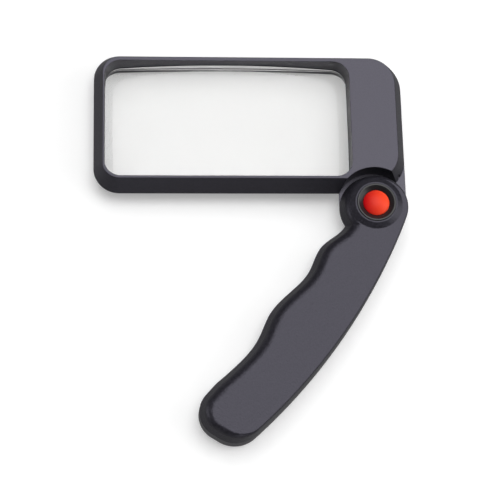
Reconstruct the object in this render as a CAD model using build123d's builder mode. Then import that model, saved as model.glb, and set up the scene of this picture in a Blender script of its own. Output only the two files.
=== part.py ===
from build123d import *
from math import atan, atan2, cos, degrees, radians, sin, sqrt
import os

# Folding, illuminated, rectangular hand magnifier, in millimetres.
# The object lies on its back. +Z points out of the front, +X runs along the head and the
# origin is on the folding axis, at the level of the back.

os.makedirs("parts", exist_ok=True)

# ---- head ----
WINDOW_W, WINDOW_H = 100.0, 49.7
WINDOW_X, WINDOW_Y = -58.75, 36.4
RAIL_LEFT, RAIL_RIGHT = 4.45, 22.53
RAIL_BOTTOM, RAIL_TOP = 4.75, 5.3
LEFT_CORNER_R, RIGHT_CORNER_R, WINDOW_CORNER_R = 10.5, 14.5, 6.6
HEAD_T = 16.0
HEAD_PARTING = 7.4
FRONT_INSET = 3.73
REAR_DRAFT = 20.0
WALL = 1.6
RIM_EDGE_R = 0.25
BACK_EDGE_R = 1.5

HEAD_W = WINDOW_W + RAIL_LEFT + RAIL_RIGHT
HEAD_H = WINDOW_H + RAIL_BOTTOM + RAIL_TOP
HEAD_X = WINDOW_X + (RAIL_RIGHT - RAIL_LEFT) / 2
HEAD_Y = WINDOW_Y + (RAIL_TOP - RAIL_BOTTOM) / 2
HEAD_RIGHT = HEAD_X + HEAD_W / 2
HEAD_BOTTOM = HEAD_Y - HEAD_H / 2
HEAD_TOP = HEAD_Y + HEAD_H / 2
WINDOW_RIGHT = WINDOW_X + WINDOW_W / 2
FRONT_HEIGHT = HEAD_T - HEAD_PARTING
FRONT_DRAFT = degrees(atan(FRONT_INSET / FRONT_HEIGHT))

# ---- lens ----
LENS_FRONT_R, LENS_BACK_R = 240.0, 520.0
LENS_FRONT_Z, LENS_BACK_Z = 12.9, 1.8
LENS_GAP = 0.3
FLANGE_Z0, FLANGE_Z1 = 4.8, 6.3
FLANGE_OUT, SEAT_OUT, LIP_OUT = 1.45, 1.6, 1.1

# ---- hub and pivot ----
HUB_R = HEAD_RIGHT
HUB_CLEAR_R = 15.3
PLATE_CLEAR_R = 14.4
HUB_FLOOR_Z0, HUB_FLOOR_Z1 = 7.7, 9.5
TUBE_R, TUBE_BORE_R, TUBE_TOP = 3.5, 2.3, 11.4
RUNNING_GAP = 0.06
WASHER_R, WASHER_T = 6.2, 0.6
RING_Z0, RING_Z1 = 10.2, 10.9
RING_R, RING_GROOVE_R, RING_MOUTH = 5.6, 3.0, 3.2
PLATE_TOP_Y = 23.0
CUP_R, CUP_BOSS_R = 9.6, 6.0
TUNNEL_R = 2.1

# ---- handle ----
REST_DIRECTION = 238.0
HANDLE_T = 16.0
HANDLE_PARTING = 8.5
SPINE_R, SPINE_CENTRE_ANGLE = 239.0, -80.8
NOTCH_U, NOTCH_V, NOTCH_TANGENT = 12.3, -6.2, (1, 0.1)
GRIP_WAVES = [
    (17.0, -7.0), (25.5, -10.0), (37.0, -9.0), (48.2, -11.2), (61.0, -13.5), (70.5, -12.3),
    (85.4, -14.2), (92.5, -16.3),
]
TIP_U, TIP_SPINE_R = 113.2, 12.0
TIP_GRIP_V, TIP_GRIP_R, TIP_GRIP_ANGLE = -18.5, 10.1, -100.0
GRIP_INSET, SPINE_INSET, TIP_INSET, HUB_INSET = 6.3, 0.8, 3.8, 3.0
EDGE_ROUND_R, WALL_LEAN = 4.6, 24.0
HANDLE_BACK_R = 1.2
HANDLE_WALL = 1.2
HUB_FLOOR_R, HUB_BORE_R = HUB_R - 2.4, HUB_R - 2.2
GRIP_START_U = 10.0
ROUND_STEPS = [0, 0.35, 0.62, 0.84, 0.96, 1]
BACK_STEPS = [0, 0.25, 0.7, HANDLE_BACK_R]
CAVITY_TOP = 14.4
CAVITY_STEPS = [(9.8, 1.5), (11.6, 2.1), (13.0, 3.6), (CAVITY_TOP, 6.0)]

# ---- button and switch ----
BUTTON_R, BUTTON_TOP, BUTTON_FLANGE_R = 5.2, 18.6, 6.1
BEZEL_R, BEZEL_BORE_R = 7.85, 5.4
BOSS_FOOT_R, BOSS_TOP_R, BOSS_TOP = 10.7, 8.5, 17.3
BOARD_Z0, BOARD_Z1 = 12.0, 13.0
BOARD_R, BOARD_POST_RING, BOARD_POST_R = 9.2, 7.9, 1.0
BUTTON_HOLLOW_R, BUTTON_HOLLOW_TOP, BUTTON_FLANGE_TOP, DOME_H = 4.5, 16.4, 15.7, 2.0
BUTTON_GAP = 0.3
BEZEL_TOP, BEZEL_LIP, BEZEL_FOOT, BEZEL_EDGE_R = 17.7, 0.7, 0.5, 0.25
SWITCH_W, SWITCH_TOP, SWITCH_CORNER_R = 6.0, 15.0, 0.5
PLUNGER_R, PLUNGER_GAP, PLUNGER_ROOT = 1.65, 0.1, 0.3
PLUNGER_WELL = 1.5

# ---- batteries: two AAA cells side by side ----
CELL_R, CELL_L, CELL_NIPPLE_L, CELL_NIPPLE_R = 5.25, 44.5, 1.0, 1.9
CELL_SPREAD, CELL_Z = 5.3, 7.0
BAY_U, BAY_V, BAY_TURN = 75.0, -0.15, -8.3
BAY_START, BAY_END = -27.0, 21.0
BULKHEAD_T, BULKHEAD_Z0 = 1.6, 1.8
PLATE_T, PLATE_LOW, PLATE_TALL, TERMINAL_W, BRIDGE_W = 0.4, 4.0, 8.0, 8.0, 19.0
SPRING_WIRE_R, SPRING_R, SPRING_TURNS = 0.3, 2.8, 3.0
CELL_EDGE_R = 0.4

# ---- battery door ----
DOOR_AXIS_S, DOOR_END_S, DOOR_CORNER_R = -31.5, 25.0, 4.0
DOOR_T, DOOR_HALF_W, BARREL_HALF_W = 1.4, 10.75, 9.2
BARREL_R, DOOR_GAP, SWING_GAP = 1.6, 0.2, 0.7
STUB_R, STUB_L, STUB_END_GAP = 0.8, 1.3, 0.2
CHEEK_T = 1.6
SLOT_START, OPENING_EXTRA = BAY_START - PLATE_T - 1.0, 0.3
TONGUE_S, TONGUE_T, TONGUE_W, TONGUE_H = DOOR_END_S - 0.8, 1.0, 8.0, 3.2
DOOR_GROOVES, GROOVE_START, GROOVE_PITCH = 4, 3.5, 1.8
GROOVE_L, GROOVE_W, GROOVE_DEPTH = 12.0, 0.8, 0.4

# ---- screws ----
SCREW_HEAD_R, SCREW_HEAD_H, SCREW_R, SCREW_L = 2.1, 1.5, 1.1, 9.0
SCREW_SEAT_Z = 3.0
SCREW_RECESS_R, SCREW_HOLE_R, SCREW_BOSS_R = 2.35, 1.35, 3.0
PILOT_R, FRONT_BOSS_R = 1.15, 2.4
CROSS_L, CROSS_W, CROSS_DEPTH = 2.4, 0.6, 0.8
HEAD_SCREWS = [(3.6, 54.0), (8.4, 26.5)]
HANDLE_SCREWS = [(20.5, 7.0), (36.6, 4.6), (106.3, -6.4)]

# ---- lamp ----
LAMP_X, LAMP_Y, LAMP_BAY_Y = -1.6, 42.0, 15.5
LAMP_BOARD_Z, LAMP_BOARD_T, LAMP_BOARD_W, LAMP_BOARD_H = 8.6, 1.0, 7.0, 20.0
LAMP_POST_DX, LAMP_POST_DY, LAMP_POST_R = -2.4, 8.0, 1.0
LAMP_WINDOW_W, LAMP_WINDOW_H, LAMP_WINDOW_T, LAMP_WINDOW_R = 6.0, 17.0, 1.0, 1.0
LAMP_LEDGE, COVER_GAP, COVER_SUNK = 0.75, 0.1, 0.15
DIODE_R, DIODE_SPREAD, DIODE_TIP_Z = 1.5, 4.5, 3.4
DIODE_FOOT_R, DIODE_FOOT_H = 1.9, 1.0
RESISTOR_W, RESISTOR_L, RESISTOR_H = 1.6, 3.2, 0.6
SHELL_POCKET_BOTTOM, SHELL_POCKET_SIDE, SHELL_POCKET_TOP = 10.0, 0.3, 0.6
LAMP_BAY_SIDE, LAMP_BAY_EDGE = 1.4, 4.0

# ---- wires ----
WIRE_R, WIRE_SPREAD, WIRE_Z = 0.55, 0.7, 4.2
WIRE_LANE_V, WIRE_LANE_SPREAD, WIRE_LANE_Z, WIRE_TURN_U = -1.6, 1.2, 10.3, 41.0
WIRE_SLOT_W, WIRE_SLOT_H = 3.1, 1.9
PAD_INSET, PAD_GAP, BOARD_EDGE = 1.5, 0.4, 1.4
TERMINAL_SPREAD, TERMINAL_GAP = 2.2, 0.3
LAMP_WIRE_BENDS = [1.8, 1.6]
BATTERY_WIRE_BENDS = [6.0, 0.9]

# ---- small allowances ----
JOIN = 0.1
PAST = 1.0


def turned_plane(angle, x=0.0, y=0.0):
    """Plane at the level of the back, whose X points along angle."""
    return Plane(origin=(x, y, 0), x_dir=(cos(radians(angle)), sin(radians(angle)), 0), z_dir=(0, 0, 1))


HANDLE = turned_plane(REST_DIRECTION)
BAY_ORIGIN = HANDLE.from_local_coords((BAY_U, BAY_V, 0))
BAY = turned_plane(REST_DIRECTION + BAY_TURN, BAY_ORIGIN.X, BAY_ORIGIN.Y)


def finish(part, name):
    """Label a finished piece and write its file."""
    part.part.label = name
    export_step(part.part, f"parts/{name}.step")


def head_outline():
    """Rounded outline of the head at its parting level, as a private face."""
    with BuildSketch() as outline:
        with Locations((HEAD_X, HEAD_Y)):
            Rectangle(HEAD_W, HEAD_H)
        fillet(outline.vertices().group_by(Axis.X)[0], LEFT_CORNER_R)
        fillet(outline.vertices().group_by(Axis.X)[-1], RIGHT_CORNER_R)
    return outline.sketch


def window_outline(grow):
    """Rounded outline of the lens window, grown on every side."""
    with BuildSketch() as outline:
        with Locations((WINDOW_X, WINDOW_Y)):
            RectangleRounded(WINDOW_W + 2 * grow, WINDOW_H + 2 * grow, WINDOW_CORNER_R + grow)
    return outline.sketch


def handle_outline(grip=0.0, spine=0.0, tip=0.0, hub=0.0):
    """Outline of the handle, moved inwards by an amount of its own on each of its four sides.

    The round hub is at the origin, the handle points along +X, the smooth spine is on the +Y side
    and the finger waves are on the -Y side. The tip has a round corner towards each side.
    """
    reach = SPINE_R - HUB_R
    spine_centre = Vector(reach, 0).rotate(Axis.Z, SPINE_CENTRE_ANGLE)
    spine_r = SPINE_R - spine
    upper_r = TIP_SPINE_R - (tip + spine) / 2
    upper_u = TIP_U - tip - upper_r
    rise = sqrt((spine_r - upper_r) ** 2 - (upper_u - spine_centre.X) ** 2)
    upper_centre = Vector(upper_u, spine_centre.Y + rise)
    upper_angle = degrees(atan2(rise, upper_u - spine_centre.X))
    lower_r = TIP_GRIP_R - (tip + grip) / 2
    lower_centre = Vector(TIP_U - tip - lower_r, TIP_GRIP_V + grip + lower_r)

    def around(centre, radius, angle):
        return centre + Vector(radius, 0).rotate(Axis.Z, angle)

    lower_start = around(lower_centre, lower_r, TIP_GRIP_ANGLE)
    waves = []
    points = [Vector(NOTCH_U, NOTCH_V)] + [Vector(*wave) for wave in GRIP_WAVES]
    full_centre = Vector(TIP_U - TIP_GRIP_R, TIP_GRIP_V + TIP_GRIP_R)
    points.append(around(full_centre, TIP_GRIP_R, TIP_GRIP_ANGLE))
    for before, point, after in zip(points, points[1:], points[2:]):
        inwards = (after - before).normalized().rotate(Axis.Z, 90)
        waves.append(point + inwards * grip)
    notch_v = NOTCH_V + grip
    notch = Vector(sqrt((HUB_R - hub) ** 2 - notch_v**2), notch_v)
    touch_angle = SPINE_CENTRE_ANGLE + 180
    touch = around(Vector(0, 0), HUB_R - spine, touch_angle)
    middle_angle = (upper_angle + touch_angle) / 2
    end_tangent = Vector(1, 0).rotate(Axis.Z, TIP_GRIP_ANGLE + 90)
    with BuildSketch() as outline:
        with BuildLine():
            Spline(notch, *waves, lower_start, tangents=[NOTCH_TANGENT, end_tangent])
            lower = ThreePointArc(lower_start, around(lower_centre, lower_r, TIP_GRIP_ANGLE / 2),
                                  around(lower_centre, lower_r, 0))
            upper = ThreePointArc(around(upper_centre, upper_r, 0),
                                  around(upper_centre, upper_r, upper_angle / 2),
                                  around(upper_centre, upper_r, upper_angle))
            Line(lower @ 1, upper @ 0)
            ThreePointArc(upper @ 1, around(spine_centre, spine_r, middle_angle), touch)
            ThreePointArc(touch, (hub - HUB_R, 0), notch)
        make_face()
    return outline.sketch


def cavity_outline(shrink):
    """The handle's outline moved inwards by the same amount all round."""
    return handle_outline(shrink, shrink, shrink, shrink)


def head_front_shell():
    """Front half of the head: sloped rim around the window and the wide plain panel."""
    with BuildPart() as shell:
        with BuildSketch(Plane.XY.offset(HEAD_PARTING)):
            add(head_outline())
        extrude(amount=FRONT_HEIGHT, taper=FRONT_DRAFT)
        fillet(shell.faces().sort_by(Axis.Z)[-1].outer_wire().edges(), RIM_EDGE_R)
        with BuildSketch(Plane.XY.offset(FLANGE_Z1)):
            add(window_outline(LIP_OUT))
        extrude(amount=HEAD_PARTING - FLANGE_Z1 + JOIN)
        with BuildSketch(Plane.XY.offset(FLANGE_Z1)):
            add(window_outline(0))
        extrude(amount=HEAD_T, mode=Mode.SUBTRACT)
        with BuildSketch(Plane.XY):
            Circle(HUB_CLEAR_R)
        extrude(amount=HEAD_T + PAST, mode=Mode.SUBTRACT)
        with BuildSketch(Plane.XY.offset(HEAD_PARTING)) as pocket:
            low_x = WINDOW_RIGHT + 2.0
            high_x = HEAD_RIGHT - WALL - SHELL_POCKET_SIDE
            low_y, high_y = SHELL_POCKET_BOTTOM, HEAD_TOP - WALL - SHELL_POCKET_TOP
            with Locations(((low_x + high_x) / 2, (low_y + high_y) / 2)):
                Rectangle(high_x - low_x, high_y - low_y)
            fillet(pocket.vertices().group_by(Axis.X)[-1].sort_by(Axis.Y)[-1], RIGHT_CORNER_R - WALL)
            Circle(HUB_CLEAR_R + WALL, mode=Mode.SUBTRACT)
        extrude(amount=FRONT_HEIGHT - WALL, taper=FRONT_DRAFT, mode=Mode.SUBTRACT)
        with BuildSketch(Plane.XY.offset(HEAD_PARTING)):
            with Locations(*HEAD_SCREWS):
                Circle(FRONT_BOSS_R)
        extrude(amount=FRONT_HEIGHT - WALL + JOIN)
        with BuildSketch(Plane.XY.offset(HEAD_PARTING)):
            with Locations(*HEAD_SCREWS):
                Circle(PILOT_R)
        extrude(amount=SCREW_SEAT_Z + SCREW_L + PAST - HEAD_PARTING, mode=Mode.SUBTRACT)
    finish(shell, "head_front_shell")


def screw_seats(points, depth, plane=Plane.XY):
    """Recesses for the screw heads and clearance holes up to depth, to be cut from a shell."""
    with BuildPart() as seats:
        with BuildSketch(plane):
            with Locations(*points):
                Circle(SCREW_RECESS_R)
        extrude(amount=SCREW_SEAT_Z)
        with BuildSketch(plane):
            with Locations(*points):
                Circle(SCREW_HOLE_R)
        extrude(amount=depth)
    return seats.part


def head_rear_shell():
    """Rear half of the head, with the lens seat, the lamp bay and the round plate of the hinge."""
    seats = screw_seats(HEAD_SCREWS, HEAD_PARTING)
    with BuildPart() as shell:
        with BuildSketch(Plane.XY.offset(HEAD_PARTING)):
            add(head_outline())
            Circle(HUB_R)
            with Locations((0, (HEAD_BOTTOM + PAST) / 2)):
                Rectangle(2 * HUB_R, HEAD_BOTTOM + PAST)
            with Locations((HUB_R / 2, PLATE_TOP_Y / 2)):
                Rectangle(HUB_R, PLATE_TOP_Y)
        extrude(amount=-HEAD_PARTING, taper=REAR_DRAFT)
        fillet(shell.faces().sort_by(Axis.Z)[0].outer_wire().edges(), BACK_EDGE_R)
        with BuildSketch(Plane.XY):
            add(window_outline(0))
        extrude(amount=HEAD_PARTING, mode=Mode.SUBTRACT)
        with BuildSketch(Plane.XY.offset(FLANGE_Z0)):
            add(window_outline(SEAT_OUT))
        extrude(amount=HEAD_PARTING, mode=Mode.SUBTRACT)
        with BuildSketch(Plane.XY.offset(WALL)) as bay:
            low_x, high_x = WINDOW_RIGHT + SEAT_OUT + LAMP_BAY_SIDE, HEAD_RIGHT - LAMP_BAY_EDGE
            high_y = HEAD_TOP - LAMP_BAY_EDGE
            with Locations(((low_x + high_x) / 2, (LAMP_BAY_Y + high_y) / 2)):
                Rectangle(high_x - low_x, high_y - LAMP_BAY_Y)
            fillet(bay.vertices().group_by(Axis.X)[-1].sort_by(Axis.Y)[-1], RIGHT_CORNER_R - LAMP_BAY_EDGE)
        extrude(amount=HEAD_PARTING, mode=Mode.SUBTRACT)
        with BuildSketch(Plane.XY.offset(WALL)):
            Circle(CUP_R)
            Circle(CUP_BOSS_R, mode=Mode.SUBTRACT)
        extrude(amount=HEAD_PARTING, mode=Mode.SUBTRACT)
        with BuildSketch(Plane.XY.offset(WALL)):
            Circle(TUBE_R)
        extrude(amount=HEAD_PARTING, mode=Mode.SUBTRACT)
        with BuildSketch(Plane.XZ.offset(-TUBE_BORE_R)):
            with Locations((0, WIRE_Z)):
                Circle(TUNNEL_R)
        extrude(amount=-(LAMP_BAY_Y - TUBE_BORE_R + PAST), mode=Mode.SUBTRACT)
        with BuildSketch(Plane.XY.offset(WALL)):
            with Locations(*HEAD_SCREWS):
                Circle(SCREW_BOSS_R)
        extrude(amount=HEAD_PARTING - WALL)
        with BuildSketch(Plane.XY.offset(WALL)):
            for side in (-1, 1):
                with Locations((LAMP_X + LAMP_POST_DX, LAMP_Y + side * LAMP_POST_DY)):
                    Circle(LAMP_POST_R)
        extrude(amount=LAMP_BOARD_Z - WALL)
        add(seats, mode=Mode.SUBTRACT)
        with BuildSketch(Plane.XY):
            with Locations((LAMP_X, LAMP_Y)):
                Rectangle(LAMP_WINDOW_W - 2 * LAMP_LEDGE, LAMP_WINDOW_H - 2 * LAMP_LEDGE)
        extrude(amount=WALL, mode=Mode.SUBTRACT)
        with BuildSketch(Plane.XY):
            with Locations((LAMP_X, LAMP_Y)):
                RectangleRounded(LAMP_WINDOW_W, LAMP_WINDOW_H, LAMP_WINDOW_R)
        extrude(amount=LAMP_WINDOW_T, mode=Mode.SUBTRACT)
    finish(shell, "head_rear_shell")


def lens():
    """Biconvex block lens, with a thin flange that the two shells of the head hold."""
    with BuildPart() as glass:
        with BuildSketch(Plane.XY):
            add(window_outline(-LENS_GAP))
        extrude(amount=HEAD_T)
        with Locations((WINDOW_X, WINDOW_Y, LENS_FRONT_Z - LENS_FRONT_R)):
            Sphere(LENS_FRONT_R, mode=Mode.INTERSECT)
        with Locations((WINDOW_X, WINDOW_Y, LENS_BACK_Z + LENS_BACK_R)):
            Sphere(LENS_BACK_R, mode=Mode.INTERSECT)
        with BuildSketch(Plane.XY.offset(FLANGE_Z0)):
            add(window_outline(FLANGE_OUT))
        extrude(amount=FLANGE_Z1 - FLANGE_Z0)
    finish(glass, "lens")


def lamp():
    """Lamp of the head: circuit board, two white diodes that point down, resistor and clear cover."""
    with BuildPart() as board:
        with Locations((LAMP_X, LAMP_Y, LAMP_BOARD_Z)):
            Box(LAMP_BOARD_W, LAMP_BOARD_H, LAMP_BOARD_T, align=(Align.CENTER, Align.CENTER, Align.MIN))
    finish(board, "lamp_board")

    with BuildPart() as diodes:
        for side in (-1, 1):
            spot = (LAMP_X, LAMP_Y + side * DIODE_SPREAD)
            with BuildSketch(Plane.XY.offset(LAMP_BOARD_Z)):
                with Locations(spot):
                    Circle(DIODE_FOOT_R)
            extrude(amount=-DIODE_FOOT_H)
            with BuildSketch(Plane.XY.offset(LAMP_BOARD_Z - DIODE_FOOT_H)):
                with Locations(spot):
                    Circle(DIODE_R)
            extrude(amount=DIODE_TIP_Z - LAMP_BOARD_Z + DIODE_FOOT_H)
            with Locations((*spot, DIODE_TIP_Z)):
                Sphere(DIODE_R)
    finish(diodes, "lamp_diodes")

    with BuildPart() as resistor:
        with Locations((LAMP_X, LAMP_Y, LAMP_BOARD_Z + LAMP_BOARD_T)):
            Box(RESISTOR_W, RESISTOR_L, RESISTOR_H, align=(Align.CENTER, Align.CENTER, Align.MIN))
    finish(resistor, "lamp_resistor")

    with BuildPart() as cover:
        cover_w, cover_h = LAMP_WINDOW_W - 2 * COVER_GAP, LAMP_WINDOW_H - 2 * COVER_GAP
        with BuildSketch(Plane.XY.offset(COVER_SUNK)):
            with Locations((LAMP_X, LAMP_Y)):
                RectangleRounded(cover_w, cover_h, LAMP_WINDOW_R - COVER_GAP)
        extrude(amount=LAMP_WINDOW_T - COVER_SUNK)
    finish(cover, "lamp_cover")


def pivot():
    """Hollow brass pivot, its friction washer and the open ring that keeps the handle on."""
    with BuildPart() as tube:
        with BuildSketch(Plane.XY.offset(WALL)):
            Circle(TUBE_R)
            Circle(TUBE_BORE_R, mode=Mode.SUBTRACT)
        extrude(amount=TUBE_TOP - WALL)
        with BuildSketch(Plane.XY.offset(RING_Z0)):
            Circle(TUBE_R)
            Circle(RING_GROOVE_R, mode=Mode.SUBTRACT)
        extrude(amount=RING_Z1 - RING_Z0, mode=Mode.SUBTRACT)
        with Locations((0, TUBE_R, WIRE_Z)):
            Box(WIRE_SLOT_W, 2 * TUBE_R, WIRE_SLOT_H, mode=Mode.SUBTRACT)
    finish(tube, "pivot_tube")

    with BuildPart() as washer:
        with BuildSketch(Plane.XY.offset(HUB_FLOOR_Z1)):
            Circle(WASHER_R)
            Circle(TUBE_R + 2 * RUNNING_GAP, mode=Mode.SUBTRACT)
        extrude(amount=WASHER_T)
    finish(washer, "friction_washer")

    with BuildPart() as ring:
        with BuildSketch(Plane.XY.offset(RING_Z0)):
            Circle(RING_R)
            Circle(RING_GROOVE_R, mode=Mode.SUBTRACT)
            with Locations((0, -RING_R)):
                Rectangle(RING_MOUTH, 2 * RING_R - RING_GROOVE_R / 2, mode=Mode.SUBTRACT)
        extrude(amount=RING_Z1 - RING_Z0)
    finish(ring, "retaining_ring")


def edge_share(height):
    """Share of the full edge inset that the front shell's side has reached at a height.

    The side leans inwards in a straight line and then rounds over into the flat front face.
    """
    lean = radians(WALL_LEAN)
    arc_z = HANDLE_T - EDGE_ROUND_R
    tangent_z = arc_z + EDGE_ROUND_R * sin(lean)
    full = (tangent_z - HANDLE_PARTING) * sin(lean) / cos(lean) + EDGE_ROUND_R * cos(lean)
    if height <= tangent_z:
        return (height - HANDLE_PARTING) * sin(lean) / cos(lean) / full
    return 1 - sqrt(max(EDGE_ROUND_R**2 - (height - arc_z) ** 2, 0)) / full


def edge_section(height):
    """Outline of the front shell at a height."""
    share = edge_share(height)
    return handle_outline(GRIP_INSET * share, SPINE_INSET * share, TIP_INSET * share, HUB_INSET * share)


def handle_front_shell():
    """Front half of the handle: flat face, soft finger side and the raised boss of the button."""
    arc_start = HANDLE_T - EDGE_ROUND_R * (1 - sin(radians(WALL_LEAN)))
    with BuildPart() as shell:
        for height in (HANDLE_PARTING, arc_start):
            with BuildSketch(HANDLE.offset(height)):
                add(edge_section(height))
        loft(ruled=True)
        for rise in ROUND_STEPS:
            height = arc_start + rise * (HANDLE_T - arc_start)
            with BuildSketch(HANDLE.offset(height)):
                add(edge_section(height))
        loft()
        with BuildSketch(Plane.XY.offset(HANDLE_T - WALL)):
            Circle(BOSS_FOOT_R)
        extrude(amount=WALL)
        with BuildSketch(Plane.XY.offset(HANDLE_T)):
            Circle(BOSS_FOOT_R)
        with BuildSketch(Plane.XY.offset(BOSS_TOP)):
            Circle(BOSS_TOP_R)
        loft(ruled=True)
        for top, shrink in CAVITY_STEPS:
            with BuildSketch(HANDLE.offset(HANDLE_PARTING)):
                add(cavity_outline(shrink))
            extrude(amount=top - HANDLE_PARTING, mode=Mode.SUBTRACT)
        with BuildSketch(Plane.XY.offset(HANDLE_PARTING)):
            with PolarLocations(BOARD_POST_RING, 3, 30):
                Circle(BOARD_POST_R)
        extrude(amount=HANDLE_T - HANDLE_PARTING - WALL + JOIN)
        with BuildSketch(Plane.XY.offset(HANDLE_PARTING)):
            Circle(HUB_BORE_R)
        extrude(amount=BOARD_Z1 - HANDLE_PARTING, mode=Mode.SUBTRACT)
        with BuildSketch(Plane.XY.offset(HANDLE_PARTING)):
            Circle(BUTTON_FLANGE_R + BUTTON_GAP)
        extrude(amount=HANDLE_T, mode=Mode.SUBTRACT)
        with BuildSketch(Plane.XY.offset(HANDLE_T)):
            Circle(BEZEL_R)
        extrude(amount=BOSS_TOP + PAST - HANDLE_T, mode=Mode.SUBTRACT)
        with BuildSketch(HANDLE.offset(HANDLE_PARTING)):
            with Locations(*HANDLE_SCREWS):
                Circle(FRONT_BOSS_R)
        extrude(amount=CAVITY_TOP - HANDLE_PARTING + JOIN)
        with BuildSketch(HANDLE.offset(HANDLE_PARTING)):
            with Locations(*HANDLE_SCREWS):
                Circle(PILOT_R)
        extrude(amount=SCREW_SEAT_Z + SCREW_L + PAST - HANDLE_PARTING, mode=Mode.SUBTRACT)
    finish(shell, "handle_front_shell")


def handle_rear_shell():
    """Rear half of the handle: grip half with the battery bay, and the thin floor of the hub."""
    seats = screw_seats(HANDLE_SCREWS, HANDLE_PARTING, HANDLE)
    opening = door_opening()
    walls = bulkheads()
    with BuildPart() as shell:
        for height in BACK_STEPS:
            inset = HANDLE_BACK_R - sqrt(HANDLE_BACK_R**2 - (HANDLE_BACK_R - height) ** 2)
            with BuildSketch(HANDLE.offset(height)):
                add(cavity_outline(inset))
        loft(ruled=True)
        with BuildSketch(HANDLE.offset(HANDLE_BACK_R)):
            add(cavity_outline(0))
        extrude(amount=HANDLE_PARTING - HANDLE_BACK_R)
        with BuildSketch(HANDLE):
            Circle(PLATE_CLEAR_R)
            with Locations((GRIP_START_U - HUB_R, 0)):
                Rectangle(2 * HUB_R, 4 * HUB_R)
        extrude(amount=HUB_FLOOR_Z0, mode=Mode.SUBTRACT)
        with BuildSketch(HANDLE.offset(WALL)):
            add(cavity_outline(HANDLE_WALL))
            Circle(PLATE_CLEAR_R + WALL, mode=Mode.SUBTRACT)
            with Locations((GRIP_START_U + WALL - HUB_R, 0)):
                Rectangle(2 * HUB_R, 4 * HUB_R, mode=Mode.SUBTRACT)
        extrude(amount=HANDLE_PARTING, mode=Mode.SUBTRACT)
        with BuildSketch(Plane.XY.offset(HUB_FLOOR_Z0)):
            Circle(HUB_FLOOR_R)
        extrude(amount=HUB_FLOOR_Z1 - HUB_FLOOR_Z0)
        with BuildSketch(Plane.XY.offset(HUB_FLOOR_Z1)):
            with PolarLocations(BOARD_POST_RING, 3, 30):
                Circle(BOARD_POST_R)
        extrude(amount=BOARD_Z0 - HUB_FLOOR_Z1)
        with BuildSketch(Plane.XY.offset(HUB_FLOOR_Z0)):
            Circle(TUBE_R + RUNNING_GAP)
        extrude(amount=HUB_FLOOR_Z1 - HUB_FLOOR_Z0, mode=Mode.SUBTRACT)
        with BuildSketch(HANDLE.offset(WALL)):
            with Locations(*HANDLE_SCREWS):
                Circle(SCREW_BOSS_R)
        extrude(amount=HANDLE_PARTING - WALL)
        add(seats, mode=Mode.SUBTRACT)
        add(walls)
        for side in (-1, 1):
            with BuildSketch(BAY.offset(WALL - JOIN)):
                with Locations((DOOR_AXIS_S, side * (BARREL_HALF_W + DOOR_GAP + CHEEK_T / 2))):
                    Rectangle(2 * BARREL_R, CHEEK_T)
            extrude(amount=2 * BARREL_R + OPENING_EXTRA - WALL)
        add(opening, mode=Mode.SUBTRACT)
    finish(shell, "handle_rear_shell")


def door_opening():
    """The door's opening through the back and the two holes for its hinge stubs, to be cut."""
    low_s = DOOR_AXIS_S - BARREL_R - OPENING_EXTRA
    with BuildPart() as opening:
        with BuildSketch(BAY) as wide:
            with Locations(((SLOT_START + DOOR_END_S + DOOR_GAP) / 2, 0)):
                Rectangle(DOOR_END_S + DOOR_GAP - SLOT_START, 2 * (DOOR_HALF_W + DOOR_GAP))
            fillet(wide.vertices().group_by(Axis.X)[-1], DOOR_CORNER_R)
        extrude(amount=WALL + JOIN)
        with BuildSketch(BAY):
            with Locations(((low_s + SLOT_START) / 2, 0)):
                Rectangle(SLOT_START - low_s, 2 * (BARREL_HALF_W + DOOR_GAP))
        extrude(amount=2 * BARREL_R + OPENING_EXTRA)
        with BuildSketch(door_hinge_plane()):
            Circle(STUB_R + RUNNING_GAP)
        extrude(amount=BARREL_HALF_W + STUB_L + STUB_END_GAP, both=True)
    return opening.part


def bulkheads():
    """Walls at the two ends of the battery bay, up to the sides of the handle."""
    with BuildPart() as walls:
        for start in (BAY_START - PLATE_T - BULKHEAD_T, BAY_END + PLATE_T):
            with BuildSketch(BAY.offset(BULKHEAD_Z0)):
                with Locations((start + BULKHEAD_T / 2, 0)):
                    Rectangle(BULKHEAD_T, 2 * BRIDGE_W)
            extrude(amount=HANDLE_PARTING - BULKHEAD_Z0)
        with BuildSketch(HANDLE):
            add(cavity_outline(HANDLE_WALL / 2))
        extrude(amount=HANDLE_PARTING, mode=Mode.INTERSECT)
    return walls.part


def door_hinge_plane():
    """Plane across the door's hinge axis, at the middle of its barrel."""
    middle = BAY.from_local_coords((DOOR_AXIS_S, 0, BARREL_R))
    return Plane(middle, x_dir=BAY.x_dir, z_dir=BAY.y_dir)


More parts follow.
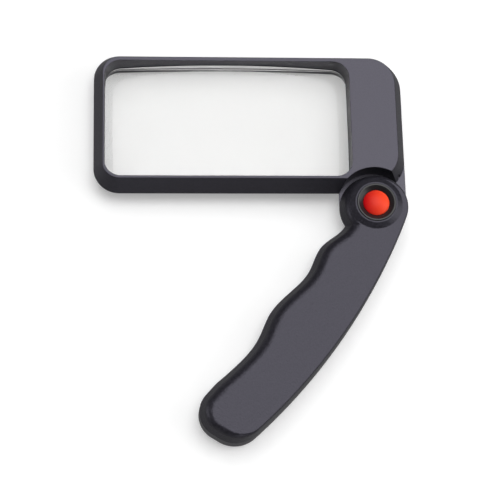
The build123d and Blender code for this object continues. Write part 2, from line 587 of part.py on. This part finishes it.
def battery_door():
    """Door in the back of the handle, with a hinge barrel at one end and a snap tongue at the other."""
    with BuildPart() as door:
        wide_start = SLOT_START + SWING_GAP
        with BuildSketch(BAY) as plate:
            with Locations(((wide_start + DOOR_END_S) / 2, 0)):
                Rectangle(DOOR_END_S - wide_start, 2 * DOOR_HALF_W)
            fillet(plate.vertices().group_by(Axis.X)[-1], DOOR_CORNER_R)
            with Locations(((DOOR_AXIS_S + wide_start) / 2, 0)):
                Rectangle(wide_start - DOOR_AXIS_S, 2 * BARREL_HALF_W)
        extrude(amount=DOOR_T)
        with BuildSketch(door_hinge_plane()):
            Circle(BARREL_R)
        extrude(amount=BARREL_HALF_W, both=True)
        with BuildSketch(door_hinge_plane()):
            Circle(STUB_R)
        extrude(amount=BARREL_HALF_W + STUB_L, both=True)
        with BuildSketch(BAY.offset(DOOR_T)):
            with Locations((TONGUE_S, 0)):
                Rectangle(TONGUE_T, TONGUE_W)
        extrude(amount=TONGUE_H)
        for row in range(DOOR_GROOVES):
            with BuildSketch(BAY):
                with Locations((DOOR_END_S - GROOVE_START - GROOVE_PITCH * row, 0)):
                    SlotOverall(GROOVE_L, GROOVE_W, rotation=90)
            extrude(amount=GROOVE_DEPTH, mode=Mode.SUBTRACT)
    finish(door, "battery_door")


def cells():
    """Two AAA cells side by side, pointing opposite ways."""
    for name, start, turn, offset_t in (
        ("battery_1", BAY_END - CELL_L, 1, CELL_SPREAD),
        ("battery_2", BAY_START + CELL_L, -1, -CELL_SPREAD),
    ):
        origin = BAY.from_local_coords((start, offset_t, CELL_Z))
        along = Plane(origin, x_dir=(0, 0, 1), z_dir=BAY.x_dir * turn)
        with BuildPart() as cell:
            with BuildSketch(along):
                Circle(CELL_R)
            extrude(amount=CELL_L - CELL_NIPPLE_L)
            fillet(cell.edges(), CELL_EDGE_R)
            with BuildSketch(along.offset(CELL_L - CELL_NIPPLE_L - JOIN)):
                Circle(CELL_NIPPLE_R)
            extrude(amount=CELL_NIPPLE_L + JOIN)
        finish(cell, name)


def contacts():
    """Contact springs, the two terminal plates at the hub end and the bridge plate at the far end."""
    spring_l = BAY_END - CELL_L - BAY_START
    with BuildPart() as springs:
        for start, turn, offset_t in ((BAY_START, 1, CELL_SPREAD), (BAY_END, -1, -CELL_SPREAD)):
            origin = BAY.from_local_coords((start + turn * SPRING_WIRE_R, offset_t, CELL_Z))
            along = Plane(origin, x_dir=(0, 0, 1), z_dir=BAY.x_dir * turn)
            height = spring_l - 2 * SPRING_WIRE_R
            coil = along.location * Helix(pitch=height / SPRING_TURNS, height=height, radius=SPRING_R)
            with BuildSketch(Plane(coil @ 0, z_dir=coil % 0)):
                Circle(SPRING_WIRE_R)
            sweep(path=coil, is_frenet=True)
    finish(springs, "contact_springs")

    with BuildPart() as terminals:
        for side in (-1, 1):
            with BuildSketch(BAY.offset(CELL_Z - PLATE_LOW)):
                with Locations((BAY_START - PLATE_T / 2, side * CELL_SPREAD)):
                    Rectangle(PLATE_T, TERMINAL_W)
            extrude(amount=PLATE_TALL)
    finish(terminals, "terminal_plates")

    with BuildPart() as bridge:
        with BuildSketch(BAY.offset(CELL_Z - PLATE_LOW)):
            with Locations((BAY_END + PLATE_T / 2, 0)):
                Rectangle(PLATE_T, BRIDGE_W)
        extrude(amount=PLATE_TALL)
    finish(bridge, "bridge_plate")


def switch_group():
    """Round circuit board with its push switch, the plunger, the red button and its bezel."""
    with BuildPart() as board:
        with BuildSketch(Plane.XY.offset(BOARD_Z0)):
            Circle(BOARD_R)
        extrude(amount=BOARD_Z1 - BOARD_Z0)
    finish(board, "switch_board")

    with BuildPart() as switch:
        with BuildSketch(Plane.XY.offset(BOARD_Z1)):
            RectangleRounded(SWITCH_W, SWITCH_W, SWITCH_CORNER_R)
        extrude(amount=SWITCH_TOP - BOARD_Z1)
        with BuildSketch(Plane.XY.offset(SWITCH_TOP)):
            Circle(PLUNGER_R + PLUNGER_GAP)
        extrude(amount=-PLUNGER_WELL, mode=Mode.SUBTRACT)
    finish(switch, "push_switch")

    with BuildPart() as plunger:
        with BuildSketch(Plane.XY.offset(SWITCH_TOP - PLUNGER_ROOT)):
            Circle(PLUNGER_R)
        extrude(amount=BUTTON_HOLLOW_TOP - SWITCH_TOP + PLUNGER_ROOT)
    finish(plunger, "switch_plunger")

    dome_r = (BUTTON_R**2 + DOME_H**2) / (2 * DOME_H)
    with BuildPart() as button:
        with BuildSketch(Plane.XZ):
            with BuildLine():
                Polyline(
                    (0, BUTTON_HOLLOW_TOP), (BUTTON_HOLLOW_R, BUTTON_HOLLOW_TOP), (BUTTON_HOLLOW_R, SWITCH_TOP),
                    (BUTTON_FLANGE_R, SWITCH_TOP), (BUTTON_FLANGE_R, BUTTON_FLANGE_TOP),
                    (BUTTON_R, BUTTON_FLANGE_TOP), (BUTTON_R, BUTTON_TOP - DOME_H),
                )
                RadiusArc((BUTTON_R, BUTTON_TOP - DOME_H), (0, BUTTON_TOP), -dome_r)
                Line((0, BUTTON_TOP), (0, BUTTON_HOLLOW_TOP))
            make_face()
        revolve(axis=Axis.Z)
    finish(button, "button")

    with BuildPart() as bezel:
        with BuildSketch(Plane.XZ):
            with BuildLine():
                Polyline(
                    (BEZEL_BORE_R, HANDLE_T), (BEZEL_R, HANDLE_T), (BEZEL_R, BEZEL_TOP),
                    (BEZEL_R - BEZEL_LIP, BEZEL_TOP), (BEZEL_BORE_R, HANDLE_T + BEZEL_FOOT),
                    (BEZEL_BORE_R, HANDLE_T),
                )
            make_face()
        revolve(axis=Axis.Z)
        fillet(bezel.edges().filter_by(GeomType.CIRCLE).group_by(Axis.Z)[-1], BEZEL_EDGE_R)
    finish(bezel, "button_bezel")


def screws(name, points, plane):
    """Identical self-tapping screws with a pan head and a cross recess, driven in from the back."""
    with BuildPart() as group:
        for point in points:
            spot = Plane(plane.from_local_coords((*point, SCREW_SEAT_Z)), x_dir=plane.x_dir, z_dir=plane.z_dir)
            with BuildSketch(spot):
                Circle(SCREW_HEAD_R)
            extrude(amount=-SCREW_HEAD_H)
            with BuildSketch(spot):
                Circle(SCREW_R)
            extrude(amount=SCREW_L)
            with BuildSketch(spot.offset(-SCREW_HEAD_H)):
                Rectangle(CROSS_L, CROSS_W)
                Rectangle(CROSS_W, CROSS_L)
            extrude(amount=CROSS_DEPTH, mode=Mode.SUBTRACT)
    finish(group, name)


def wires(name, routes):
    """Insulated wires: straight runs joined by round bends."""
    with BuildPart() as pair:
        for points, bends in routes:
            with BuildLine() as route:
                FilletPolyline(*points, radius=bends)
            with BuildSketch(Plane(route.line @ 0, z_dir=route.line % 0)):
                Circle(WIRE_R)
            sweep(path=route.line)
    finish(pair, name)


def all_wires():
    """Wires from the lamp to the pivot's bore, and from the battery terminals to the switch board."""
    lamp_routes = []
    for side in (-1, 1):
        x = side * WIRE_SPREAD
        start_y = LAMP_Y - LAMP_BOARD_H / 2 + PAD_INSET
        end_z = BOARD_Z0 - PAD_GAP
        points = [(x, start_y, LAMP_BOARD_Z), (x, start_y, WIRE_Z), (x, 0, WIRE_Z), (x, 0, end_z)]
        lamp_routes.append((points, LAMP_WIRE_BENDS))
    wires("lamp_wires", lamp_routes)

    battery_routes = []
    for side in (-1, 1):
        start = BAY.from_local_coords((BAY_START - PLATE_T - TERMINAL_GAP, side * TERMINAL_SPREAD, 0))
        plate = HANDLE.to_local_coords(start)
        lane = WIRE_LANE_V + side * WIRE_LANE_SPREAD
        route = [
            (plate.X, plate.Y, WIRE_LANE_Z), (WIRE_TURN_U, lane, WIRE_LANE_Z),
            (BOARD_R - BOARD_EDGE, lane, WIRE_LANE_Z), (BOARD_R - BOARD_EDGE, lane, BOARD_Z0),
        ]
        points = [HANDLE.from_local_coords(point) for point in route]
        battery_routes.append((points, BATTERY_WIRE_BENDS))
    wires("battery_wires", battery_routes)


head_front_shell()
head_rear_shell()
lens()
lamp()
pivot()
handle_front_shell()
handle_rear_shell()
battery_door()
cells()
contacts()
switch_group()
screws("head_screws", HEAD_SCREWS, Plane.XY)
screws("handle_screws", HANDLE_SCREWS, HANDLE)
all_wires()
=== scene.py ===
import math

import bmesh
import bpy
from mathutils import Matrix, Vector


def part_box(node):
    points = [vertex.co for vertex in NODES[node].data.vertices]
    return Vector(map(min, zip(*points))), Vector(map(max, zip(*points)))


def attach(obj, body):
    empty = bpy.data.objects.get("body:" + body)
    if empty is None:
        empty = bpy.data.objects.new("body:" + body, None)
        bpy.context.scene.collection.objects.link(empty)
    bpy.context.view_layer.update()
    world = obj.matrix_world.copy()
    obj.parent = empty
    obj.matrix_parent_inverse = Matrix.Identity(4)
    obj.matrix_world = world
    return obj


# Looks of a folding, illuminated, rectangular hand magnifier that lies on its back on a pale floor.
# Everything is in metres, in the frame of the CAD model.

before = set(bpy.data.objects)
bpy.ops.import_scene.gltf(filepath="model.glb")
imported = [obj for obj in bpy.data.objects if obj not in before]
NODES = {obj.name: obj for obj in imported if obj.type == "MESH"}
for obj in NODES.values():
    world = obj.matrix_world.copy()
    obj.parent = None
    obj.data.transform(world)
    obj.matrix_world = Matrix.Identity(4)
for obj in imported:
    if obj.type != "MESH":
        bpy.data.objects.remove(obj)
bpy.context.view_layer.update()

MM = 0.001
BUTTON_R = 6.1 * MM
CELL_BODY_L = 43.5 * MM

# Directions in the handle at rest: along the cells away from the hub, and square to the handle's length.
CELL_AXIS = Vector((-0.6468, -0.7627, 0.0))
HANDLE_LEFT = Vector((0.8480, -0.5299, 0.0))
BATTERY_WIRES_MIDDLE = HANDLE_LEFT * -1.6 * MM

# ---- camera: just above the lower side of the object, looking down at its front ----
CAMERA_PLACE = Vector((-0.09983, -0.20026, 0.61996))
CAMERA_RIGHT = Vector((0.99704, -0.02281, 0.07341))
CAMERA_UP = Vector((0.00081, 0.95804, 0.28662))
CAMERA_BACK = Vector((-0.07687, -0.28572, 0.95523))
CAMERA_LENS = 115.2
SENSOR = 36.0


def add_camera():
    """Camera with a long lens that sees the whole object from the front."""
    data = bpy.data.cameras.new("camera")
    data.lens = CAMERA_LENS
    data.sensor_width = SENSOR
    data.clip_start = 0.01
    camera = bpy.data.objects.new("camera", data)
    turn = Matrix((CAMERA_RIGHT, CAMERA_UP, CAMERA_BACK)).transposed()
    camera.matrix_world = Matrix.Translation(CAMERA_PLACE) @ turn.to_4x4()
    bpy.context.scene.collection.objects.link(camera)
    bpy.context.scene.camera = camera


# ---- material helpers ----
class Maker:
    """A Principled material that is being made, with short ways to add the nodes it needs.

    Extra keywords are sockets of the shader, with _ in place of spaces.
    """

    def __init__(self, name, colour, roughness, **sockets):
        self.material = bpy.data.materials.new(name)
        self.material.use_nodes = True
        self.nodes = self.material.node_tree.nodes
        self.links = self.material.node_tree.links
        self.shader = self.nodes["Principled BSDF"]
        self.place = self.nodes.new("ShaderNodeTexCoord").outputs["Object"]
        self.set("Base Color", (*colour, 1.0))
        self.set("Roughness", roughness)
        for socket, value in sockets.items():
            self.set(socket.replace("_", " "), value)

    def set(self, socket, value):
        self.shader.inputs[socket].default_value = value

    def link(self, output, socket):
        self.links.new(output, self.shader.inputs[socket])

    def noise(self, size, detail=2.0, stretch=(1, 1, 1)):
        """Noise between 0 and 1 whose spots are about size metres wide."""
        mapping = self.nodes.new("ShaderNodeMapping")
        mapping.inputs["Scale"].default_value = stretch
        texture = self.nodes.new("ShaderNodeTexNoise")
        texture.inputs["Scale"].default_value = 1 / size
        texture.inputs["Detail"].default_value = detail
        self.links.new(self.place, mapping.inputs["Vector"])
        self.links.new(mapping.outputs[0], texture.inputs["Vector"])
        return texture.outputs["Fac"]

    def ramp(self, value, stops):
        """Colour ramp over a value; stops are (position, colour) or (position, grey)."""
        ramp = self.nodes.new("ShaderNodeValToRGB")
        elements = ramp.color_ramp.elements
        while len(elements) < len(stops):
            elements.new(0.5)
        for element, (position, colour) in zip(elements, stops):
            element.position = position
            element.color = (colour,) * 3 + (1,) if isinstance(colour, (int, float)) else (*colour, 1)
        self.links.new(value, ramp.inputs["Fac"])
        return ramp.outputs["Color"]

    def math(self, operation, first, second=None):
        """Math node on sockets or plain numbers."""
        node = self.nodes.new("ShaderNodeMath")
        node.operation = operation
        for socket, value in zip(node.inputs, (first, second)):
            if isinstance(value, (int, float)):
                socket.default_value = value
            elif value is not None:
                self.links.new(value, socket)
        return node.outputs[0]

    def mix(self, factor, first, second):
        """Colour mix of two colours or sockets."""
        node = self.nodes.new("ShaderNodeMix")
        node.data_type = "RGBA"
        factor_socket, first_socket, second_socket = node.inputs[0], node.inputs[6], node.inputs[7]
        for socket, value in ((factor_socket, factor), (first_socket, first), (second_socket, second)):
            if isinstance(value, (int, float)):
                socket.default_value = value
            elif isinstance(value, tuple):
                socket.default_value = (*value, 1)
            else:
                self.links.new(value, socket)
        return node.outputs[2]

    def axis(self, direction, origin=(0, 0, 0)):
        """Distance in metres along a direction, from an origin."""
        shift = self.nodes.new("ShaderNodeVectorMath")
        shift.operation = "SUBTRACT"
        shift.inputs[1].default_value = origin
        self.links.new(self.place, shift.inputs[0])
        dot = self.nodes.new("ShaderNodeVectorMath")
        dot.operation = "DOT_PRODUCT"
        dot.inputs[1].default_value = direction
        self.links.new(shift.outputs[0], dot.inputs[0])
        return dot.outputs["Value"]

    def bump(self, height, depth, edge_radius=0.0):
        """Bump of a given depth in metres, over softly rounded edges where edge_radius is given."""
        node = self.nodes.new("ShaderNodeBump")
        node.inputs["Strength"].default_value = 1.0
        node.inputs["Distance"].default_value = depth
        self.links.new(height, node.inputs["Height"])
        if edge_radius:
            bevel = self.nodes.new("ShaderNodeBevel")
            bevel.samples = 6
            bevel.inputs["Radius"].default_value = edge_radius
            self.links.new(bevel.outputs[0], node.inputs["Normal"])
        self.link(node.outputs[0], "Normal")


def moulded_plastic(name, colour, roughness, gloss=0.5, tint=(1, 1, 1), spread=0.15, grain=0.45 * MM,
                    depth=0.012 * MM, edge=0.0):
    """Satin moulded plastic: an eroded grain whose tone varies by spread, and a slightly uneven polish."""
    make = Maker(name, colour, roughness)
    make.set("Specular IOR Level", gloss)
    make.set("Specular Tint", (*tint, 1.0))
    fine = make.noise(grain, 3.0)
    tone = make.ramp(make.noise(22 * MM), [(0.3, 0.35), (0.7, 0.65)])
    darker = tuple(c * (1 - spread) for c in colour)
    lighter = tuple(c * (1 + spread) for c in colour)
    speckle = make.ramp(fine, [(0.35, darker), (0.65, lighter)])
    make.link(make.mix(tone, speckle, colour), "Base Color")
    make.link(make.ramp(fine, [(0.3, roughness - 0.05), (0.7, roughness + 0.06)]), "Roughness")
    make.bump(fine, depth, edge)
    return make.material


def metal(name, colour, roughness, stretch=(1, 1, 1), size=0.3 * MM):
    """Metal with drawn or turned lines and small stains."""
    make = Maker(name, colour, roughness, Metallic=1.0)
    lines = make.noise(size, 3.0, stretch)
    stains = make.noise(4 * MM, 2.0)
    dull = tuple(c * 0.78 for c in colour)
    make.link(make.mix(make.ramp(stains, [(0.45, 0.0), (0.75, 1.0)]), colour, dull), "Base Color")
    make.link(make.ramp(lines, [(0.3, roughness - 0.08), (0.7, roughness + 0.12)]), "Roughness")
    make.bump(lines, 0.01 * MM)
    return make.material


def clear(name, tint, roughness, ior=1.49):
    """Clear plastic with faint smears on its polished surface."""
    make = Maker(name, tint, roughness, IOR=ior)
    make.set("Transmission Weight", 1.0)
    smears = make.noise(9 * MM, 4.0, (1, 2.2, 1))
    make.link(make.ramp(smears, [(0.45, roughness), (0.8, roughness + 0.03)]), "Roughness")
    return make.material


def red_button():
    """Satin red plastic dome with painted shade and light: deep red at the -x side, lighter orange-red at
    the +x side, as if lit from there; with fine wipe marks.
    """
    make = Maker("button_red", (0.9, 0.02, 0.015), 0.36, Specular_IOR_Level=0.12)
    across = make.math("ADD", make.math("MULTIPLY", make.axis((1, 0, 0)), 1 / (2 * BUTTON_R)), 0.5)
    # painted shade and painted light: the base colour runs from deep red at -x to lighter orange-red at +x
    # across the dome, standing in for light from the +x side
    make.link(make.ramp(across, [(0.1, (0.58, 0.003, 0.008)), (0.9, (0.98, 0.080, 0.028))]), "Base Color")
    wipes = make.noise(1.2 * MM, 3.0, (1, 3, 1))
    make.link(make.ramp(wipes, [(0.3, 0.32), (0.7, 0.42)]), "Roughness")
    make.bump(make.noise(0.2 * MM, 2.0), 0.003 * MM)
    return make.material


def circuit_board():
    """Solder mask over copper tracks that shimmer through it."""
    make = Maker("board_mask", (0.012, 0.10, 0.035), 0.32)
    tracks = make.nodes.new("ShaderNodeTexBrick")
    tracks.offset = 0.0
    tracks.inputs["Scale"].default_value = 1.0
    tracks.inputs["Brick Width"].default_value = 7.3 * MM
    tracks.inputs["Row Height"].default_value = 0.9 * MM
    tracks.inputs["Mortar Size"].default_value = 0.13 * MM
    make.links.new(make.place, tracks.inputs["Vector"])
    weave = make.noise(0.5 * MM, 2.0)
    mask = make.mix(weave, (0.010, 0.085, 0.030), (0.014, 0.115, 0.040))
    make.link(make.mix(tracks.outputs["Fac"], mask, (0.022, 0.150, 0.050)), "Base Color")
    make.link(make.ramp(weave, [(0.3, 0.27), (0.7, 0.38)]), "Roughness")
    make.bump(tracks.outputs["Fac"], 0.03 * MM)
    return make.material


def cell_sleeve(name, node, positive):
    """Battery sleeve without any mark: blue, with a pale ring by the positive end, and bare ends."""
    make = Maker(name, (0.02, 0.03, 0.05), 0.3)
    low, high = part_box(node)
    from_middle = make.axis(positive, (low + high) / 2)
    along = make.math("ADD", make.math("DIVIDE", from_middle, CELL_BODY_L), 0.5)
    blue, pale, bare = (0.012, 0.045, 0.16), (0.55, 0.57, 0.60), (0.62, 0.61, 0.59)
    sleeve = [(0.0, bare), (0.012, blue), (0.80, pale), (0.86, blue), (0.988, bare)]
    metal_parts = [(0.0, 1.0), (0.012, 0.0), (0.80, 0.0), (0.86, 0.0), (0.988, 1.0)]
    colours, bare_ends = make.ramp(along, sleeve), make.ramp(along, metal_parts)
    for ramp_output in (colours, bare_ends):
        ramp_output.node.color_ramp.interpolation = "CONSTANT"
    scuffs = make.noise(1.5 * MM, 3.0, (1, 1, 4))
    worn = make.ramp(scuffs, [(0.55, 0.0), (0.85, 0.35)])
    make.link(make.mix(worn, colours, (0.30, 0.31, 0.33)), "Base Color")
    make.link(bare_ends, "Metallic")
    make.link(make.ramp(scuffs, [(0.3, 0.24), (0.7, 0.36)]), "Roughness")
    make.bump(make.noise(0.8 * MM, 2.0), 0.008 * MM)
    return make.material


def wire_pair(name, side, origin):
    """One wire with red insulation and one with black, either side of a plane, with a drawn texture."""
    make = Maker(name, (0.5, 0.02, 0.02), 0.42)
    is_red = make.math("GREATER_THAN", make.axis(side, origin), 0.0)
    grain = make.noise(0.3 * MM, 2.0)
    red = make.mix(grain, (0.40, 0.010, 0.012), (0.52, 0.020, 0.018))
    make.link(make.mix(is_red, (0.018, 0.018, 0.020), red), "Base Color")
    make.link(make.ramp(grain, [(0.3, 0.36), (0.7, 0.5)]), "Roughness")
    make.bump(grain, 0.01 * MM)
    return make.material


def phosphor():
    """Grainy yellow phosphor on the diode's chip."""
    make = Maker("phosphor", (0.85, 0.62, 0.06), 0.55)
    grain = make.noise(0.08 * MM, 2.0)
    make.link(make.mix(grain, (0.75, 0.50, 0.04), (0.92, 0.72, 0.10)), "Base Color")
    make.link(make.ramp(grain, [(0.3, 0.5), (0.7, 0.65)]), "Roughness")
    make.bump(grain, 0.01 * MM)
    return make.material


# ---- stage; the core and fade of each glow are angles in degrees from its middle ----
FLOOR_GLOW = 0.29
FLOOR_SIZE = 3.0
FLOOR_DROP = 0.15 * MM
WORLD_GREY = 0.06
UNDER_GREY = 0.22
UNDER_CORE = 75
UNDER_FADE = 90
OVERHEAD_DIRECTION = (0.08, 0.30, 0.95)
OVERHEAD_RADIANCE = 3.3
OVERHEAD_CORE = 17
OVERHEAD_FADE = 40
LOOK_AT = Vector((-0.05, -0.01, 0.01))


def floor_material():
    """Pale paper with a faint fibre texture, see-through from below so that the object's back shows."""
    make = Maker("floor_paper", (0.75, 0.75, 0.75), 0.9)
    fibre = make.noise(3 * MM, 3.0)
    make.link(make.ramp(fibre, [(0.3, 0.74), (0.7, 0.77)]), "Base Color")
    make.set("Emission Color", (1, 1, 1, 1))
    make.set("Emission Strength", FLOOR_GLOW)
    side = make.nodes.new("ShaderNodeNewGeometry").outputs["Backfacing"]
    one_sided = make.nodes.new("ShaderNodeMixShader")
    make.links.new(side, one_sided.inputs[0])
    make.links.new(make.shader.outputs[0], one_sided.inputs[1])
    make.links.new(make.nodes.new("ShaderNodeBsdfTransparent").outputs[0], one_sided.inputs[2])
    make.links.new(one_sided.outputs[0], make.nodes["Material Output"].inputs["Surface"])
    return make.material


def add_floor():
    """Plain pale floor just under the object's back."""
    half = FLOOR_SIZE / 2
    corners = [(-half, -half, 0), (half, -half, 0), (half, half, 0), (-half, half, 0)]
    mesh = bpy.data.meshes.new("floor")
    mesh.from_pydata(corners, [], [(0, 1, 2, 3)])
    mesh.materials.append(floor_material())
    floor = bpy.data.objects.new("floor", mesh)
    floor.location.z = -FLOOR_DROP
    floor.visible_glossy = False
    bpy.context.scene.collection.objects.link(floor)


def add_softbox(name, direction, distance, size, radiance):
    """Square area light that faces the object; radiance is what it looks like in a mirror."""
    data = bpy.data.lights.new(name, "AREA")
    data.shape = "SQUARE"
    data.size = size
    data.energy = radiance * math.pi * size**2
    light = bpy.data.objects.new(name, data)
    toward = Vector(direction).normalized()
    light.location = LOOK_AT + toward * distance
    light.rotation_mode = "QUATERNION"
    light.rotation_quaternion = toward.to_track_quat("Z", "Y")
    bpy.context.scene.collection.objects.link(light)


def add_world():
    """Dim studio with a broad, soft-edged diffuser overhead, which the flat faces mirror."""
    world = bpy.data.worlds.new("studio")
    world.use_nodes = True
    nodes, links = world.node_tree.nodes, world.node_tree.links
    direction = nodes.new("ShaderNodeTexCoord").outputs["Generated"]

    def lobe(axis, start, end, low, high):
        """Brightness that goes from low to high between two angles from an axis, in degrees."""
        facing = nodes.new("ShaderNodeVectorMath")
        facing.operation = "DOT_PRODUCT"
        facing.inputs[1].default_value = Vector(axis).normalized()
        links.new(direction, facing.inputs[0])
        fade = nodes.new("ShaderNodeMapRange")
        fade.interpolation_type = "SMOOTHSTEP"
        fade.inputs["From Min"].default_value = math.cos(math.radians(start))
        fade.inputs["From Max"].default_value = math.cos(math.radians(end))
        fade.inputs["To Min"].default_value = low
        fade.inputs["To Max"].default_value = high
        links.new(facing.outputs["Value"], fade.inputs["Value"])
        return fade.outputs["Result"]

    overhead = lobe(OVERHEAD_DIRECTION, OVERHEAD_FADE, OVERHEAD_CORE, WORLD_GREY, OVERHEAD_RADIANCE)
    under = lobe((0, 0, -1), UNDER_FADE, UNDER_CORE, 0.0, UNDER_GREY)
    total = nodes.new("ShaderNodeMath")
    total.operation = "ADD"
    links.new(overhead, total.inputs[0])
    links.new(under, total.inputs[1])
    links.new(total.outputs[0], nodes["Background"].inputs["Strength"])
    nodes["Background"].inputs["Color"].default_value = (1, 1, 1, 1)
    bpy.context.scene.world = world


def add_lights():
    """Softbox at the right, smaller low ones at the left and front, and the world's overhead glow."""
    add_softbox("right_softbox", (0.86, -0.05, 0.50), distance=1.1, size=0.8, radiance=2.4)
    add_softbox("left_softbox", (-0.95, 0.05, 0.10), distance=0.9, size=0.5, radiance=2.2)
    add_softbox("front_softbox", (0.10, -0.98, 0.12), distance=0.9, size=0.4, radiance=2.0)
    add_world()


# ---- materials of the CAD nodes ----
def paint(material, *names):
    """Give CAD nodes a material."""
    for name in names:
        NODES[name].data.materials[0] = material


def paint_nodes():
    """Materials of all CAD nodes."""
    grey = (0.016, 0.0152, 0.020)
    black = (0.008, 0.008, 0.009)
    cool = (0.86, 0.83, 1.0)
    soft_edge = 0.4 * MM
    shell = moulded_plastic("grey_plastic", grey, 0.38, gloss=0.66, tint=cool, spread=0.55,
                            grain=0.7 * MM, depth=0.06 * MM, edge=soft_edge)
    grip = moulded_plastic("grip_plastic", grey, 0.38, gloss=0.45, tint=cool, spread=0.55,
                           grain=0.9 * MM, depth=0.12 * MM, edge=soft_edge)
    back = moulded_plastic("black_plastic", black, 0.40, gloss=0.85, tint=cool, spread=0.55,
                           edge=soft_edge)
    bezel = moulded_plastic("bezel_plastic", (0.010, 0.010, 0.011), 0.34, gloss=0.42, spread=0.4,
                            edge=0.15 * MM)
    epoxy = moulded_plastic("component_epoxy", (0.014, 0.014, 0.014), 0.45, spread=0.4)
    nylon = moulded_plastic("washer_nylon", (0.75, 0.73, 0.66), 0.45, spread=0.08)
    paint(shell, "head_front_shell")
    paint(grip, "handle_front_shell")
    paint(back, "head_rear_shell", "handle_rear_shell", "battery_door")
    paint(clear("lens_acrylic", (0.94, 0.94, 0.935), 0.0), "lens")
    paint(clear("lamp_cover_plastic", (0.95, 0.96, 0.96), 0.08), "lamp_cover")
    paint(clear("diode_epoxy", (0.97, 0.95, 0.85), 0.03, 1.53), "lamp_diodes")
    paint(red_button(), "button")
    paint(bezel, "button_bezel")
    paint(circuit_board(), "lamp_board", "switch_board")
    paint(epoxy, "lamp_resistor", "push_switch", "switch_plunger")
    paint(metal("pivot_brass", (0.78, 0.55, 0.22), 0.25, (1, 1, 6)), "pivot_tube")
    paint(metal("spring_steel", (0.58, 0.58, 0.6), 0.24), "retaining_ring", "contact_springs")
    paint(nylon, "friction_washer")
    paint(metal("screw_zinc", (0.62, 0.62, 0.64), 0.28), "head_screws", "handle_screws")
    paint(metal("contact_nickel", (0.72, 0.70, 0.66), 0.22), "terminal_plates", "bridge_plate")
    paint(cell_sleeve("cell_sleeve_1", "battery_1", CELL_AXIS), "battery_1")
    paint(cell_sleeve("cell_sleeve_2", "battery_2", -CELL_AXIS), "battery_2")
    paint(wire_pair("lamp_wire_pvc", (1, 0, 0), (0, 0, 0)), "lamp_wires")
    paint(wire_pair("battery_wire_pvc", -HANDLE_LEFT, BATTERY_WIRES_MIDDLE), "battery_wires")


# ---- small pieces that only the looks need: sizes in each diode, from its axis and its cup ----
DIODE_FOOT_R = 1.9 * MM
CUP_ABOVE_TIP = 2.6 * MM
LEAD_SHORT_OF_FOOT = 0.05 * MM
LEAD_HALF_WIDTH = 0.25 * MM
CUP_LEAD_X = (-0.55 * MM, -0.1 * MM)
WIRE_LEAD_X = (0.45 * MM, 0.9 * MM)
ANVIL_X = (0.2 * MM, 0.9 * MM)
ANVIL_HALF_WIDTH = 0.4 * MM
ANVIL_LOW, ANVIL_HIGH = 0.2 * MM, 0.7 * MM
CUP_X = -0.3 * MM
CUP_WIDE_R, CUP_NARROW_R = 0.62 * MM, 0.4 * MM
CUP_DEPTH = 0.6 * MM
LEAD_EDGE = 0.04 * MM
CHIP_R = 0.45 * MM
CHIP_DROP = 0.3 * MM
CHIP_FLATNESS = 0.45


def add_piece(name, shape, material, body):
    """Turn a bmesh into a piece that rides on a body."""
    mesh = bpy.data.meshes.new(name)
    bmesh.ops.recalc_face_normals(shape, faces=shape.faces)
    shape.to_mesh(mesh)
    shape.free()
    mesh.materials.append(material)
    piece = bpy.data.objects.new(name, mesh)
    bpy.context.scene.collection.objects.link(piece)
    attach(piece, body)


def block(shape, low, high):
    """Add a box between two corners to a bmesh."""
    low, high = Vector(low), Vector(high)
    place = Matrix.Translation((low + high) / 2) @ Matrix.Diagonal((*(high - low), 1))
    bmesh.ops.create_cube(shape, size=1.0, matrix=place)


def lead(shape, x, y, x_span, half_width, low_z, high_z):
    """Add one bar of a lead frame, whose x_span and half_width count from the diode's axis."""
    block(shape, (x + x_span[0], y - half_width, low_z), (x + x_span[1], y + half_width, high_z))


def add_diode_insides():
    """Lead frame with its reflector cup, and the chip with its phosphor, in each of the two clear diodes."""
    low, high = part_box("lamp_diodes")
    silver = metal("lead_frame_silver", (0.80, 0.79, 0.76), 0.25)
    yellow = phosphor()
    x = (low.x + high.x) / 2
    top, cup_z = high.z - LEAD_SHORT_OF_FOOT, low.z + CUP_ABOVE_TIP
    for number, y in enumerate((low.y + DIODE_FOOT_R, high.y - DIODE_FOOT_R), 1):
        leads = bmesh.new()
        lead(leads, x, y, CUP_LEAD_X, LEAD_HALF_WIDTH, cup_z, top)
        lead(leads, x, y, WIRE_LEAD_X, LEAD_HALF_WIDTH, cup_z + ANVIL_LOW, top)
        lead(leads, x, y, ANVIL_X, ANVIL_HALF_WIDTH, cup_z + ANVIL_LOW, cup_z + ANVIL_HIGH)
        bmesh.ops.create_cone(leads, cap_ends=True, segments=32, radius1=CUP_WIDE_R, radius2=CUP_NARROW_R,
                              depth=CUP_DEPTH, matrix=Matrix.Translation((x + CUP_X, y, cup_z)))
        bmesh.ops.bevel(leads, geom=leads.edges[:], offset=LEAD_EDGE, segments=2, affect="EDGES")
        add_piece(f"diode_frame_{number}", leads, silver, "head")
        chip = bmesh.new()
        chip_place = Matrix.Translation((x + CUP_X, y, cup_z - CHIP_DROP))
        bmesh.ops.create_uvsphere(chip, u_segments=24, v_segments=12, radius=CHIP_R,
                                  matrix=chip_place @ Matrix.Diagonal((1, 1, CHIP_FLATNESS, 1)))
        add_piece(f"diode_phosphor_{number}", chip, yellow, "head")


add_camera()
add_floor()
add_lights()
paint_nodes()
add_diode_insides()
bpy.context.scene.view_settings.view_transform = "Standard"
